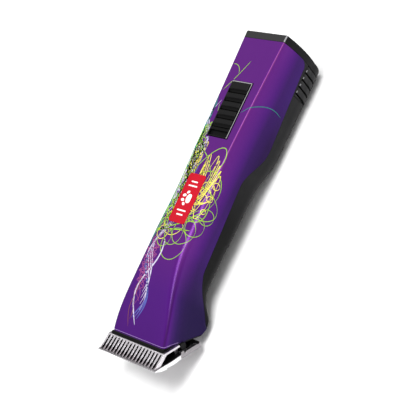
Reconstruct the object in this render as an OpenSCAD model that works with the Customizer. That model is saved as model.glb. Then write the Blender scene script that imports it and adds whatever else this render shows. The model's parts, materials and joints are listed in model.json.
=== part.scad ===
// Cordless pet clipper with a clip-on blade set, a slide switch and a pull-out battery pack.
// Millimetres. The clipper lies on its back: the switch face looks up (+Z), the blades point
// to -Y, the battery cap to +Y, and the width runs along X. The origin is under the middle of
// the clipper, on the surface that it lies on. Inside the modules y counts from the tooth
// tips, and place() moves the finished piece so that the origin is in the middle.

/* [Body] */
// Length from the tooth tips to the end of the battery cap
overall_l = 190.8; // [190:0.2:192]
// Height of the flat switch face
face_z = 37; // [36.5:0.5:38]
// Lift of the underside in the waist
waist_lift = 6.8; // [6.4:0.1:7]
// Thickness of the shell walls
wall = 2; // [1.6:0.2:2]
// Half width of the switch face at the battery end
tail_face_x = 16.2; // [15.8:0.1:16.6]
// Half width of the switch face in the waist
waist_face_x = 13.2; // [12.8:0.1:13.4]
// Half width of the switch face at the blade end
head_face_x = 22; // [21.5:0.1:22.5]
// Thickness of the battery cap's visible slice
cap_t = 4.5; // [4:0.5:5]

/* [Blades] */
// Width of the comb over its teeth
comb_w = 49.5; // [49:0.5:50]
// Length of the comb from tooth tip to heel
comb_l = 33; // [32.5:0.5:33]
// Number of comb teeth
comb_teeth = 27; // [25:1:29]
// Width of the cutter
cutter_w = 47.8; // [47:0.2:48]
// Number of cutter teeth
cutter_teeth = 18; // [16:1:20]
// Slope of the blades against the switch face, in degrees
blade_tilt = 40; // [39:0.5:41]

/* [Switch] */
// Width of the switch bezel
bezel_w = 16.8; // [16:0.2:17]
// Length of the switch bezel
bezel_l = 33.8; // [33:0.2:35]
// Travel of the slider
slider_travel = 2.8; // [2.4:0.2:3]

/* [Drive] */
// Diameter of the motor can
motor_d = 24; // [23:0.5:24]
// Offset of the crank pin from the motor shaft
throw = 1.2; // [1:0.1:1.2]
// Diameter of the lever's pivot pin
pivot_d = 4; // [3.6:0.2:4]

/* [Battery] */
// Diameter of one cell
cell_d = 14; // [13.6:0.2:14]
// Length of one cell
cell_l = 43; // [40:1:43]

/* [Badge] */
// Length of the badge
badge_l = 28.5; // [26:0.5:30]
// Width of the badge
badge_w = 13.2; // [12:0.2:14]

/* [Hidden] */
$fn = 48;

purple = "#5f2a8c";
black = "#2b2b2d";
steel = "#c9c6cc";
brass = "#c8a24a";
copper = "#b5673a";
green = "#2f6b45";

// Clearance between pieces that move past each other
gap = 0.3;
// Radial clearance of a running fit
run = 0.05;
// Far enough to cut right through anything
far = 60;

// Stations along the body
nose_y = 12;
nose_z = 26.2;
heel_y = 33.8;
heel_z = 4.5;
sole_step = 0.6;
sole_y = 28.2;
sole_z = 6.6;
brow_y = 66;
lug_y = 19.2;
lug_z = 14.8;
lug_r = 1.9;
waist_y = 110;
shell_end = overall_l - cap_t;
cap_start = shell_end + 0.12;
// Slope of the cap seam and of the cap's end face, in y per unit of height
tail_lean = 0.13;

side_steps = 7;
corner_steps = 5;
outer_ys = concat(
    [for (y = [6 : 3.5 : 62.9]) y], [for (y = [66, 76.2, 77.8, 90, 102]) y],
    [for (y = [108 : 3.2 : 140]) y], [for (y = [148 : 9 : 193]) y], [196]);
inner_ys = concat([for (y = [4 : 6 : 70]) y], [76.2, 77.8, 92], [for (y = [106 : 4 : 138]) y],
    [160, 180, 198]);

// Smooth step from 0 at y0 to 1 at y1
function ease(y, y0, y1) =
    let (t = min(1, max(0, (y - y0) / (y1 - y0)))) t * t * (3 - 2 * t);
// Height of the switch face, which dips towards the nose
function top_z(y) = face_z
    - (face_z - nose_z) * pow(max(0, (brow_y - y) / (brow_y - nose_y)), 1.6);
// Height of the underside
function floor_z(y) = waist_lift * ease(y, 132.5, 107) + sole_step * ease(y, 77.6, 76.4)
    - (waist_lift + sole_step - heel_z) * ease(y, 45, 35);
// Half width of the switch face
function crease_x(y) = waist_face_x
    + (tail_face_x - waist_face_x) * pow(max(0, (y - waist_y) / (overall_l - waist_y)), 1.5)
    + ease(y, 100, 65) + (head_face_x - waist_face_x - 1) * ease(y, 67, 12);
// Control width of the bulging side, and half width where the bottom corner starts
function bulge_x(y) = 18.3 + 2.9 * ease(y, 100, 186) + 3.8 * ease(y, 62, 20);
function side_x(y) = 17.5 + 0.5 * ease(y, 107, 132) + 4.6 * ease(y, 53, 33);
function corner_r(y) = 8.5 + 3.5 * ease(y, 107, 132) - 7.3 * ease(y, 54, 34);
// Height of the edge between the two shells, and y on a face that leans like the cap seam
function seam_z(y) = 19.7 + 2.7 * min(1, (y - 58) / 50) - 7.8 * ease(y, 108, 131)
    + 0.09 * max(0, y - 134);
function lean_y(y, z) = y - (face_z - z) * tail_lean;

function half_section(y, off) =
    let (r = max(0.6, corner_r(y) - off), zt = top_z(y) - off, zc = floor_z(y) + off + r,
         a = crease_x(y) - off, m = bulge_x(y) - off, e = side_x(y) - off)
    concat(
        [for (i = [0 : side_steps]) let (s = i / side_steps)
            [a * pow(1 - s, 2) + 2 * m * s * (1 - s) + e * s * s, zt + (zc - zt) * s]],
        [for (i = [1 : corner_steps]) let (q = 90 * i / corner_steps)
            [e - r + r * cos(q), zc - r * sin(q)]]);
function ring(y, off) =
    let (h = half_section(y, off), n = len(h))
    concat([for (p = h) [p[0], y, p[1]]],
        [for (i = [n - 1 : -1 : 0]) [-h[i][0], y, h[i][1]]]);

// Outline of the upper shell in the y-z plane
corner_round = 5;
corner_z = seam_z(178) + corner_round;
upper_outline = concat(
    [[lean_y(shell_end, 45), 45]],
    [for (q = [0 : 18 : 90]) [lean_y(shell_end, corner_z) + corner_round * (cos(q) - 1),
        corner_z - corner_round * sin(q)]],
    [for (y = [172 : -8 : 140]) [y, seam_z(y)]],
    [for (y = [134 : -3 : 107]) [y, seam_z(y)]],
    [[80, seam_z(80)], [59, seam_z(59)], [56.4, 19.2], [47.6, 14.6],
     [heel_y + 0.6, heel_z + 2.4], [heel_y, heel_z], [sole_y, sole_z], [nose_y, nose_z],
     [7, 32.2], [7, 45]]);

// Blade plane: its origin is at the tooth tips
tip_drop = 0.3;
heel_x = 24.4;
blade_y = tip_drop * sin(blade_tilt);
blade_z = 27.6;
// Cutter profile
ridge_t = 8.8;
ridge_h = 5.4;
cutter_end = 19.4;
cutter_plate = 1.2;
spring_t = 0.6;
// Hinge pin
hinge_y = 28.5;
hinge_z = 5;
hinge_r = 1.5;
knuckle_r = 2.4;
tongue_x = 4.9;
tongue_h = [0.7, 2.1];
socket_y = [22, 32];
socket_h = 2.9;
bracket_x = 7.8;

// Drive line
axis_z = 22;
motor_front = 62;
motor_back = 98;
can_t = 1;
pivot_y = 36;
lever_z = [20.5, 24.5];
tip_x = 1.7;
tip_t = [12.5, 16];
bearing_r = 3;
crank_r = 1.5;
bush_r = 3.5;
shaft_r = 1.15;

// Switch
bezel_y = 126.8;
bezel_rim = 0.9;
recess_y = bezel_y + bezel_rim;
slider_y = recess_y + slider_travel + gap;
slider_l = bezel_l - 2 * bezel_rim - slider_travel - 2 * gap;
slider_x = bezel_w / 2 - bezel_rim - gap;
slider_top = face_z + 1.3;
slider_ribs = 5;
rib_pitch = 5.1;
wire_r = 0.6;
wire_z = axis_z + 4.3;
board_z = 26;
board_top = 27.6;

// Battery pack
case_x = cell_d + 1.1;
case_z = [3.2, 19.2];
case_y = 134;
case_r = 7.5;
cell_x = cell_d / 2 + 0.3;
cell_z = (case_z[0] + case_z[1]) / 2;
cell_y = case_y + 1;
pad_x = [5, 9];
pad_z = [9, 15];
contact_y = 130;
latch_y = 165;
latch_z = 4;
latch_top = 16.4;
grip_pitch = 5;
badge_y = 76.2;

screw_spots = [[10.9, 47], [7.5, 111]];
bracket_screw = [4.5, 41];
blade_screw = [11, 28];
screw_r = 1.15;
screw_hole = 1.25;
head_r = 2.3;

module place() translate([0, -overall_l / 2, 0]) children();
// One solid of flat facets, for the moulded shapes
module meshed() resize([0, 0, 0]) children();
// Cylinder along Y that starts at y
module rod(x, y, z, r, l) translate([x, y, z]) rotate([-90, 0, 0]) cylinder(r = r, h = l);
module block(x0, x1, y0, y1, z0, z1) translate([x0, y0, z0]) cube([x1 - x0, y1 - y0, z1 - z0]);
module both_sides() {
    children();
    mirror([1, 0, 0]) children();
}
// Prism along X over an outline given in y and z
module side_prism(outline, x0, x1) translate([x0, 0, 0]) rotate([90, 0, 90])
    linear_extrude(x1 - x0) polygon(outline);
// Blade plane: y runs down along the blades from the tooth tips, z stands square on them
module blade_frame() translate([0, blade_y, blade_z]) rotate([-blade_tilt, 0, 0]) children();

// Solid body shape, shrunk by off on every side
module body_solid(off, ys) {
    rings = [for (y = ys) ring(y, off)];
    n = len(rings[0]);
    last = (len(rings) - 1) * n;
    walls = [for (i = [0 : len(rings) - 2], j = [0 : n - 1]) let (k = (j + 1) % n)
        [i * n + j, (i + 1) * n + j, (i + 1) * n + k, i * n + k]];
    ends = [[for (j = [0 : n - 1]) j], [for (j = [n - 1 : -1 : 0]) last + j]];
    polyhedron([for (r = rings) each r], concat(walls, ends));
}
// Slice between two faces that lean like the cap seam
module tail_slice(y0, y1) side_prism([[lean_y(y0, -8), -8], [lean_y(y1, -8), -8],
    [lean_y(y1, 48), 48], [lean_y(y0, 48), 48]], -far, far);
module hinge_notch() block(-9.6, 9.6, 10, 34.6, -1, 9.4);
// Room for the rear edge of the cutter
module cutter_relief() blade_frame()
    block(-far, far, 10, cutter_end + 0.4, -1, ridge_h + 0.4);

module top_shell() place() color(purple) meshed() {
    difference() {
        intersection() {
            body_solid(0, outer_ys);
            side_prism(upper_outline, -far, far);
        }
        body_solid(wall, inner_ys);
        translate([-bezel_w / 2, bezel_y, face_z - 3]) cube([bezel_w, bezel_l, 10]);
        hinge_notch();
        cutter_relief();
        both_sides() lug(15, far, lug_r + gap);
    }
    for (spot = screw_spots) both_sides() screw_post(spot);
}
module screw_post(spot) difference() {
    translate([spot[0], spot[1], floor_z(spot[1]) + wall + 0.5])
        cylinder(r = 2.8, h = top_z(spot[1]) - floor_z(spot[1]) - 2 * wall + 0.5, $fn = 20);
    translate(spot) cylinder(r = screw_hole, h = 20, $fn = 20);
}

module bottom_shell() place() color(black) meshed() difference() {
    union() {
        difference() {
            intersection() {
                body_solid(0, outer_ys);
                tail_slice(20, shell_end);
            }
            body_solid(wall, inner_ys);
            side_prism(upper_outline, -far, far);
        }
        block(-8.5, 8.5, 38.4, 48, heel_z, 8.6);
    }
    side_prism([[0, -5], [0, 40], [nose_y + 3, nose_z + 3], [sole_y + 3, sole_z + 4],
        [heel_y, heel_z], [heel_y, -5]], -far, far);
    hinge_notch();
    both_sides() {
        block(10, 30, latch_y - gap, 200, latch_z - gap, latch_top + gap);
        for (spot = screw_spots) translate([spot[0], spot[1], -1]) {
            cylinder(r = screw_hole, h = 20, $fn = 20);
            cylinder(r = head_r + 0.2, h = floor_z(spot[1]) + 2, $fn = 20);
        }
        translate(bracket_screw) cylinder(r = screw_hole, h = 20, $fn = 20);
    }
}

// Black insert that closes the open lower end of the head
module head_frame() place() color(black) meshed() {
    difference() {
        intersection() {
            body_solid(wall + 0.1, inner_ys);
            side_prism([[12.6, 26.7], [28.8, 7.1], [31.9, 9.7], [15.7, 29.3]], -far, far);
        }
        block(-5, 5, 8, 40, 17, 25);
        hinge_notch();
        cutter_relief();
    }
    both_sides() {
        lug(16.4, 22, lug_r);
        hull() {
            lug(16.4, 19.2, lug_r);
            translate([0, 3.4, 2.8]) lug(16.4, 19.2, lug_r);
        }
    }
}
// Round lug at each side of the head's open end, and the notch that it stands in
module lug(x0, x1, r) translate([x0, lug_y, lug_z]) rotate([0, 90, 0])
    cylinder(r = r, h = x1 - x0, $fn = 24);

// Frame and floor that the power slider runs in
module switch_bezel() place() color(black) difference() {
    block(-bezel_w / 2, bezel_w / 2, bezel_y, bezel_y + bezel_l, face_z - 2.4, face_z + 0.5);
    block(-bezel_w / 2 + bezel_rim, bezel_w / 2 - bezel_rim, recess_y,
        bezel_y + bezel_l - bezel_rim, face_z - 1, face_z + 2);
    block(-3, 3, recess_y + 6, recess_y + 22, face_z - 5, face_z);
}
module badge() place() color("crimson") translate([0, badge_y, face_z]) linear_extrude(0.4)
    hull() both_sides() for (y = [3, badge_l - 3]) translate([badge_w / 2 - 3, y])
        circle(r = 3, $fn = 32);
module housing_screws() place() color(steel) both_sides() for (spot = screw_spots)
    translate([spot[0], spot[1], floor_z(spot[1]) - 0.1]) {
        translate([0, 0, 0.3]) cylinder(r = head_r, h = 0.7);
        translate([0, 0, 1]) cylinder(r = screw_r, h = 10);
    }

module motor_can() place() color(steel) difference() {
    rod(0, motor_front, axis_z, motor_d / 2, motor_back - motor_front);
    rod(0, motor_front + 1, axis_z, motor_d / 2 - can_t, motor_back);
    rod(0, motor_front - 1, axis_z, 3, 4);
}
module motor_end_cap() place() color(black) difference() {
    union() {
        rod(0, motor_back, axis_z, motor_d / 2, 1.5);
        rod(0, motor_back, axis_z, 5, 4);
    }
    rod(0, motor_back - 1, axis_z, 3, 6);
}
module motor_magnets() place() color("dimgray") difference() {
    rod(0, 66, axis_z, motor_d / 2 - can_t - run, 28);
    rod(0, 65, axis_z, motor_d / 2 - 2.8, 30);
    block(-3, 3, 60, 100, 0, 50);
}
module bush(y) difference() {
    rod(0, y, axis_z, 3, 3);
    rod(0, y - 1, axis_z, shaft_r + run, 5);
}
module front_bush() place() color(brass) bush(motor_front - 0.5);
module rear_bush() place() color(brass) bush(motor_back + 0.5);
module motor_terminals() place() color(brass) both_sides()
    block(6.5, 8.5, motor_back + 1.5, motor_back + 5, axis_z + 3, axis_z + 3.6);
// Two rails that the motor lies on
module motor_rails() place() color(black) difference() {
    both_sides() block(4, 9, 66, 96, 10, 14.5);
    rod(0, 60, axis_z, motor_d / 2 + 0.02, 50);
}
module drive_chassis() place() color("silver") difference() {
    union() {
        block(-8, 8, 33, 61, 9.9, 11.9);
        rod(0, motor_front - 2, axis_z, motor_d / 2, 2);
        translate([0, pivot_y, 10]) cylinder(r = 4.2, h = 9.6);
    }
    rod(0, 50, axis_z, 3.2, 20);
    translate([0, pivot_y, 8]) cylinder(d = pivot_d, h = 20);
    both_sides() rod(8, 50, axis_z, 1.2, 20);
}
module lever_pivot_pin() place() color(steel) translate([0, pivot_y, 10])
    cylinder(d = pivot_d, h = 16.6);
module lever_clip() place() color(steel) translate([0, pivot_y, 25.5]) difference() {
    cylinder(r = 3.4, h = 0.6);
    cylinder(d = pivot_d, h = 3, center = true);
    block(-1, 1, -5, 0, -1, 2);
}

module motor_shaft() place() color(steel) rod(0, 57.2, axis_z, shaft_r, 45.8);
module armature() place() color(copper) difference() {
    rod(0, 67, axis_z, motor_d / 2 - 3.3, 24);
    rod(0, 60, axis_z, shaft_r, 40);
    for (q = [0 : 120 : 240]) translate([0, 0, axis_z]) rotate([0, q, 0])
        block(-0.8, 0.8, 60, 100, 4.5, 12);
}
module commutator() place() color(brass) difference() {
    rod(0, 91.6, axis_z, 3, 4.8);
    rod(0, 90, axis_z, shaft_r, 10);
}
module eccentric() place() color(steel) {
    difference() {
        rod(0, 56.6, axis_z, 4, 3);
        rod(0, 57.2, axis_z, shaft_r, 10);
    }
    rod(0, 49.5, axis_z + throw, crank_r, 7.2);
}
module ring_bearing() place() color(steel) difference() {
    rod(0, 50.2, axis_z + throw, bearing_r, 5.2);
    rod(0, 49, axis_z + throw, crank_r, 10);
}

// Forked lever: the ring bearing rocks it, and its far end drives the cutter
module drive_lever() place() color("silver") translate([0, 0, lever_z[0]]) {
    fork_x = bearing_r + throw + 0.4;
    difference() {
        linear_extrude(lever_z[1] - lever_z[0]) union() {
            translate([0, pivot_y]) circle(r = 6);
            polygon([[-1.7, 18], [1.7, 18], [4, 33], [-4, 33]]);
            translate([-4, pivot_y]) square([8, 11]);
            difference() {
                translate([-fork_x - 2.4, 45]) square([2 * fork_x + 4.8, 11]);
                translate([-fork_x, 47.8]) square([2 * fork_x, 10]);
            }
        }
        translate([0, pivot_y, -1]) cylinder(r = bush_r, h = 10);
    }
}
module lever_bush() place() color(brass) translate([0, pivot_y, lever_z[0] - 0.5]) difference() {
    cylinder(r = bush_r, h = 5);
    translate([0, 0, -1]) cylinder(r = pivot_d / 2 + run, h = 10);
}
module drive_tip() place() color(black) {
    block(-tip_x, tip_x, 14.6, 18, lever_z[0], lever_z[1] - 0.5);
    blade_frame() block(-tip_x, tip_x, tip_t[0], tip_t[1], 2, 6);
}

module power_slider() place() color(black) difference() {
    block(-slider_x, slider_x, slider_y, slider_y + slider_l, face_z - 0.8, slider_top);
    for (i = [0 : slider_ribs - 1])
        let (rib_y = slider_y + 2.6 + i * rib_pitch)
            side_prism([[rib_y, face_z + 0.3], [rib_y + rib_pitch, slider_top],
                [rib_y + rib_pitch, face_z + 2], [rib_y, face_z + 2]],
                -slider_x + 0.8, slider_x - 0.8);
}
module slider_foot() place() color(black)
    block(-2, 2, slider_y + 7, slider_y + 13, face_z - 4.2, face_z - 0.8);
module circuit_board() place() color(green) difference() {
    block(-11, 11, 118, 158, board_z, board_top);
    both_sides() for (y = [121, 155]) translate([8.5, y, 20]) cylinder(r = 1.2, h = 10);
}
module board_components() place() color("dimgray") {
    block(-8, -1, 122, 128, 24, board_z);
    block(2, 8, 121, 130, 23.5, board_z);
    translate([4, 136, board_top]) cylinder(r = 2.5, h = 4.5);
    rod(-7, 134, 23.8, 2.1, 9);
    block(3, 9, 146, 152, 23.4, board_z);
}
module microswitch() place() color("dimgray") {
    block(-6, 0, 138, 150, board_top, 32);
    block(-4, -2, 141, 144, 32, 32.5);
}
module motor_leads() place() color("firebrick") meshed() both_sides() {
    wire([7.5, 103, wire_z], [7.5, 106, wire_z]);
    wire([7.5, 106, wire_z], [3.2, 108.5, wire_z]);
    wire([3.2, 108.5, wire_z], [3.2, 117.4, wire_z]);
}
module wire(from, to) hull() for (p = [from, to]) translate(p) sphere(r = wire_r, $fn = 12);
module contact_block() place() color(black) block(-12, 12, 122, contact_y, 8, 19);
module contact_leaves() place() color(brass) both_sides()
    side_prism([[contact_y, pad_z[0]], [contact_y + 2.6, 12], [contact_y, pad_z[1]],
        [contact_y, pad_z[1] - 0.8], [contact_y + 1.7, 12], [contact_y, pad_z[0] + 0.8]],
        pad_x[0], pad_x[1]);

module battery_cap() place() color(black) {
    meshed() {
        intersection() {
            body_solid(0, outer_ys);
            tail_slice(cap_start, overall_l);
        }
        difference() {
            intersection() {
                body_solid(wall + 0.35, inner_ys);
                tail_slice(shell_end - 4, shell_end + 0.5);
            }
            body_solid(wall + 2, inner_ys);
            block(-far, far, 0, 200, -5, latch_top + 1);
        }
    }
}
// Rounded box, shrunk by off on every side, drawn along +Y
module case_shape(off) round_bar(case_x - off, case_z[0] + off, case_z[1] - off, case_r - off);
module round_bar(x, z0, z1, r) rotate([90, 0, 0]) mirror([0, 0, 1]) linear_extrude(60)
    union() {
        translate([-x + r, z0]) square([2 * x - 2 * r, z1 - z0]);
        translate([-x, z0 + r]) square([2 * x, z1 - z0 - 2 * r]);
        for (sx = [-1, 1], z = [z0 + r, z1 - r]) translate([sx * (x - r), z]) circle(r = r);
    }
module battery_case() place() color(black) difference() {
    intersection() {
        translate([0, case_y, 0]) case_shape(0);
        tail_slice(100, cap_start);
    }
    intersection() {
        translate([0, cell_y, 0]) case_shape(0.8);
        block(-far, far, cell_y, cell_y + cell_l + 0.4, 0, 30);
    }
    both_sides() {
        block(10.5, 20, 178.8, 200, 9.2, 13.8);
        block(pad_x[0], pad_x[1], case_y - 1, cell_y + 1, pad_z[0], pad_z[1]);
    }
}
module cell(x) place() color("steelblue") {
    rod(x, cell_y + 0.4, cell_z, cell_d / 2, cell_l - 1.2);
    rod(x, cell_y + 0.3, cell_z, 3, 0.4);
}
module cell_left() cell(-cell_x);
module cell_right() cell(cell_x);
module cell_links() place() color(steel)
    block(-9, 9, cell_y + cell_l - 0.7, cell_y + cell_l - 0.5, cell_z - 2.5, cell_z + 2.5);
module battery_pads() place() color(brass) both_sides()
    block(pad_x[0], pad_x[1], case_y - 0.4, cell_y + 0.3, pad_z[0], pad_z[1]);
// Ribbed grip that is squeezed to free the battery pack
module latch_button() {
    meshed() difference() {
        intersection() {
            body_solid(-0.5, outer_ys);
            side_prism(concat([[latch_y, latch_z]],
                [[lean_y(shell_end - gap, latch_z), latch_z]],
                [for (y = [183 : -6 : latch_y]) [min(y, lean_y(shell_end - gap, latch_top)),
                    min(latch_top, seam_z(y) - gap)]]), 0, far);
        }
        body_solid(1.1, inner_ys);
        for (i = [0 : 3]) translate([0, latch_y + 1.2 + i * grip_pitch, 11]) rotate([-7, 0, 0])
            difference() {
                block(10, 30, 0, 1.3, -12, 12);
                block(0, side_x(latch_y) - 0.6, -1, 3, -13, 13);
            }
    }
    block(12, 17.2, 179.1, 181.2, 9.5, 13.5);
}
module latch_button_right() place() color(black) latch_button();
module latch_button_left() place() color(black) mirror([1, 0, 0]) latch_button();

// Bracket under the head that carries the blade hinge; its foot steadies the clipper
module hinge_bracket() place() color(steel) difference() {
    union() {
        block(-8, 8, 34.8, 47, 2.3, heel_z);
        block(-8, 8, 36, 42, 0, 2.4);
        both_sides() {
            block(tongue_x + gap, bracket_x, hinge_y, 35.2, 2.4, heel_z);
            translate([tongue_x + gap, hinge_y, hinge_z]) rotate([0, 90, 0])
                cylinder(r = knuckle_r + 0.2, h = bracket_x - tongue_x - gap);
        }
    }
    translate([-far, hinge_y, hinge_z]) rotate([0, 90, 0]) cylinder(r = hinge_r, h = 2 * far);
    both_sides() translate([bracket_screw[0], bracket_screw[1], -1]) {
        cylinder(r = screw_hole, h = 20);
        cylinder(r = head_r + 0.1, h = 2.4);
    }
}
module hinge_screws() place() color(steel) both_sides()
    translate([bracket_screw[0], bracket_screw[1], 0.5]) {
        cylinder(r = head_r, h = 0.9);
        cylinder(r = screw_r, h = 9);
    }
module hinge_pin() place() color(steel) translate([-bracket_x, hinge_y, hinge_z])
    rotate([0, 90, 0]) cylinder(r = hinge_r, h = 2 * bracket_x);
// Tongue that the blade set slides on to
module hinge_tongue() place() color(steel) difference() {
    union() {
        translate([-tongue_x, hinge_y, hinge_z]) rotate([0, 90, 0])
            cylinder(r = knuckle_r, h = 2 * tongue_x);
        blade_frame() block(-tongue_x, tongue_x, 20.5, 36.2, tongue_h[0], tongue_h[1]);
    }
    translate([-far, hinge_y, hinge_z]) rotate([0, 90, 0])
        cylinder(r = hinge_r + run, h = 2 * far);
    blade_frame() translate([0, 24.5, -1]) cylinder(r = 2, h = 5);
}

// Row of teeth in the x-y plane, from y = tip to y = root, the gaps narrowing to the root
module teeth(count, width, tip, root, tip_w, root_w) {
    pitch = (width - tip_w) / (count - 1);
    for (i = [0 : count - 1]) let (x = -(width - tip_w) / 2 + i * pitch)
        polygon([[x - tip_w / 2, tip], [x + tip_w / 2, tip],
            [min(width / 2, x + root_w / 2), root], [max(-width / 2, x - root_w / 2), root]]);
}
module comb_blade() place() color(steel) blade_frame() difference() {
    union() {
        intersection() {
            side_prism([[0, -tip_drop], [0.5, 0], [comb_l, 0], [comb_l, -2.4], [18, -2.4],
                [13.5, -2.9], [9.6, -3], [5.5, -2.4], [1.7, -1.1]], -far, far);
            translate([0, 0, -5]) linear_extrude(10) {
                teeth(comb_teeth, comb_w, -1, 7.6, 0.75, 1.05);
                polygon([[-comb_w / 2, 7.5], [comb_w / 2, 7.5], [comb_w / 2, 12],
                    [heel_x, 18], [heel_x, comb_l - 2.5], [heel_x - 2, comb_l],
                    [2 - heel_x, comb_l], [-heel_x, comb_l - 2.5], [-heel_x, 18],
                    [-comb_w / 2, 12]]);
            }
        }
        both_sides() {
            block(heel_x - 1.8, heel_x, 18.8, 20.8, -0.5, 1.4);
            block(heel_x - 2.4, heel_x, 22, comb_l - 2.6, -0.5, 0.4);
        }
    }
    both_sides() translate([blade_screw[0], blade_screw[1], -5]) cylinder(r = screw_hole, h = 10);
}
// Two rails that hold the tongue
module blade_socket() place() color(steel) blade_frame() both_sides() {
    block(tongue_x + gap, 7.2, socket_y[0], socket_y[1], 0, socket_h);
    block(4.2, tongue_x + gap + 0.1, socket_y[0], socket_y[1], tongue_h[1] + gap, socket_h);
}
module cutter_guide() place() color(black) blade_frame() both_sides()
    block(8.2, 15.8, 20.2, 23.6, 0, 3);
module tension_spring() place() color(steel) blade_frame() both_sides() difference() {
    block(8.2, 14, 23.7, 31.5, 0.05, spring_t);
    translate(blade_screw) cylinder(r = screw_hole, h = 5, center = true);
}
module blade_screws() place() color(steel) blade_frame() both_sides() translate(blade_screw) {
    translate([0, 0, spring_t]) cylinder(r = head_r, h = 1.2);
    translate([0, 0, -2.2]) cylinder(r = screw_r, h = 3);
}

// Bent cutter: a toothed bevel rises to the ridge, a plate runs back to the rear rail
module cutter_blade() place() color(steel) blade_frame() difference() {
    intersection() {
        side_prism([[1.3, 0.1], [4.6, 0.1], [10.2, ridge_h - cutter_plate],
            [17.2, ridge_h - cutter_plate], [17.2, 0.1], [cutter_end, 0.1],
            [cutter_end, ridge_h], [ridge_t, ridge_h], [1.3, 0.5]], -far, far);
        translate([0, 0, -1]) linear_extrude(10) {
            teeth(cutter_teeth, cutter_w, 0, 7.4, 1.2, 1.6);
            translate([-cutter_w / 2, 7.3]) square([cutter_w, 20]);
        }
    }
    block(-tip_x - gap, tip_x + gap, 10.9, 30, 0, 9);
    both_sides() block(21, 30, 17.1, 30, -1, ridge_h - cutter_plate);
}

top_shell();
bottom_shell();
head_frame();
switch_bezel();
badge();
housing_screws();
motor_can();
motor_end_cap();
motor_magnets();
front_bush();
rear_bush();
motor_terminals();
motor_rails();
drive_chassis();
lever_pivot_pin();
lever_clip();
motor_shaft();
armature();
commutator();
eccentric();
ring_bearing();
drive_lever();
lever_bush();
drive_tip();
power_slider();
slider_foot();
circuit_board();
board_components();
microswitch();
motor_leads();
contact_block();
contact_leaves();
battery_cap();
battery_case();
cell_left();
cell_right();
cell_links();
battery_pads();
latch_button_left();
latch_button_right();
hinge_bracket();
hinge_screws();
hinge_pin();
hinge_tongue();
comb_blade();
blade_socket();
cutter_guide();
tension_spring();
blade_screws();
cutter_blade();
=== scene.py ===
"""Looks of the cordless pet clipper: its visible pieces, materials, floor, lights and camera.

Lengths are in millimetres, and y counts from the tooth tips, as in the clipper's own drawing.
spot() turns them into metres in the shared frame.
"""
import json
import math

import bmesh
import bpy
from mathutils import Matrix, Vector
from mathutils.bvhtree import BVHTree


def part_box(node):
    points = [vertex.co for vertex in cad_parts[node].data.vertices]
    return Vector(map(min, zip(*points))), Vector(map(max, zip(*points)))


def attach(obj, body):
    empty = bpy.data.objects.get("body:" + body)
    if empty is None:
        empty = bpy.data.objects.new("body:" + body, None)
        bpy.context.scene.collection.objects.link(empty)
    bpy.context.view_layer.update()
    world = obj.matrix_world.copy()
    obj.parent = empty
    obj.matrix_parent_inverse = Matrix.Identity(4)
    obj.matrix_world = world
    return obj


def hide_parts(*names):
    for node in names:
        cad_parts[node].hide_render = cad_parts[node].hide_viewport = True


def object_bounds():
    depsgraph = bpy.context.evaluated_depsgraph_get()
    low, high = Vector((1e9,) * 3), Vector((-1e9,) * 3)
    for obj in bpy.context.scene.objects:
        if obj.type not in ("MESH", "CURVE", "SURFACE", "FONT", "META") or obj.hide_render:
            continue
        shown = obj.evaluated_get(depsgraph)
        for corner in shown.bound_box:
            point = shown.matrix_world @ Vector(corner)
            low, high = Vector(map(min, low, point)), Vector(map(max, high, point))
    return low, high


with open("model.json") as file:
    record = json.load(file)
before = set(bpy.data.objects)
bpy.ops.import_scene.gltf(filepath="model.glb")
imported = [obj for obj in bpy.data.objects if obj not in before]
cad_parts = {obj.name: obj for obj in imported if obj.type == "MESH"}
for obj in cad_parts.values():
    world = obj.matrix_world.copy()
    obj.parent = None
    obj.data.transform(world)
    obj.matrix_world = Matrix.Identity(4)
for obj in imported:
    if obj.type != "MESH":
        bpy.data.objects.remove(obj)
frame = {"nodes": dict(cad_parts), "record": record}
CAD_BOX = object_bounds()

MM = 0.001


def drawn(point):
    """A point of the shared frame in millimetres, with y from the tooth tips."""
    return point / MM + Vector((0, LENGTH / 2, 0))


def cad_box(node):
    """The lowest and the highest corner of a CAD node, as drawn."""
    low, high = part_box(node)
    return drawn(low), drawn(high)


# ---- sizes from the CAD frame
LENGTH = (CAD_BOX[1].y - CAD_BOX[0].y) / MM
SHELL_BOX = cad_box("top_shell")
BEZEL = cad_box("switch_bezel")
SLIDER = cad_box("power_slider")
BADGE = cad_box("badge")
LATCH = cad_box("latch_button_right")
FACE_Z = SHELL_BOX[1].z
SHELL_END = SHELL_BOX[1].y

# Body sections, as in the clipper's drawing
WALL = 2.0
NOSE_Y, NOSE_Z = 12.0, 26.2
HEEL_Y, HEEL_Z = 33.8, 4.5
SOLE_Y, SOLE_Z = 28.2, 6.6
# the face is level behind BROW_Y and falls to the nose as this power of the way
BROW_Y, BROW_BEND = 66.0, 1.6
WAIST_LIFT, SOLE_STEP = 6.8, 0.6
TAIL_FACE_X, WAIST_FACE_X, HEAD_FACE_X = 16.2, 13.2, 22.0
WAIST_Y = 110.0
TAIL_LEAN = 0.13
LUG_Y, LUG_Z, LUG_R = 19.2, 14.8, 1.9
NOTCH_X = 9.6
LATCH_GAP = 0.3
SCREWS = [(10.9, 47.0), (7.5, 111.0)]

# Blade plane: t runs down along the blades from the tooth tips, h stands square on them
BLADE_TILT = math.radians(40)
TIP_DROP = 0.3
BLADE_Z = 27.6
COMB_W, COMB_L, COMB_TEETH, HEEL_X = 49.5, 33.0, 27, 24.4
CUTTER_W, CUTTER_TEETH = 47.8, 18
RIDGE_T, RIDGE_H, CUTTER_END, PLATE = 8.8, 5.4, 19.4, 1.2


def spot(x, y, z):
    """Place in the shared frame, in metres."""
    return Vector((x, y - LENGTH / 2, z)) * MM


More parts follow.
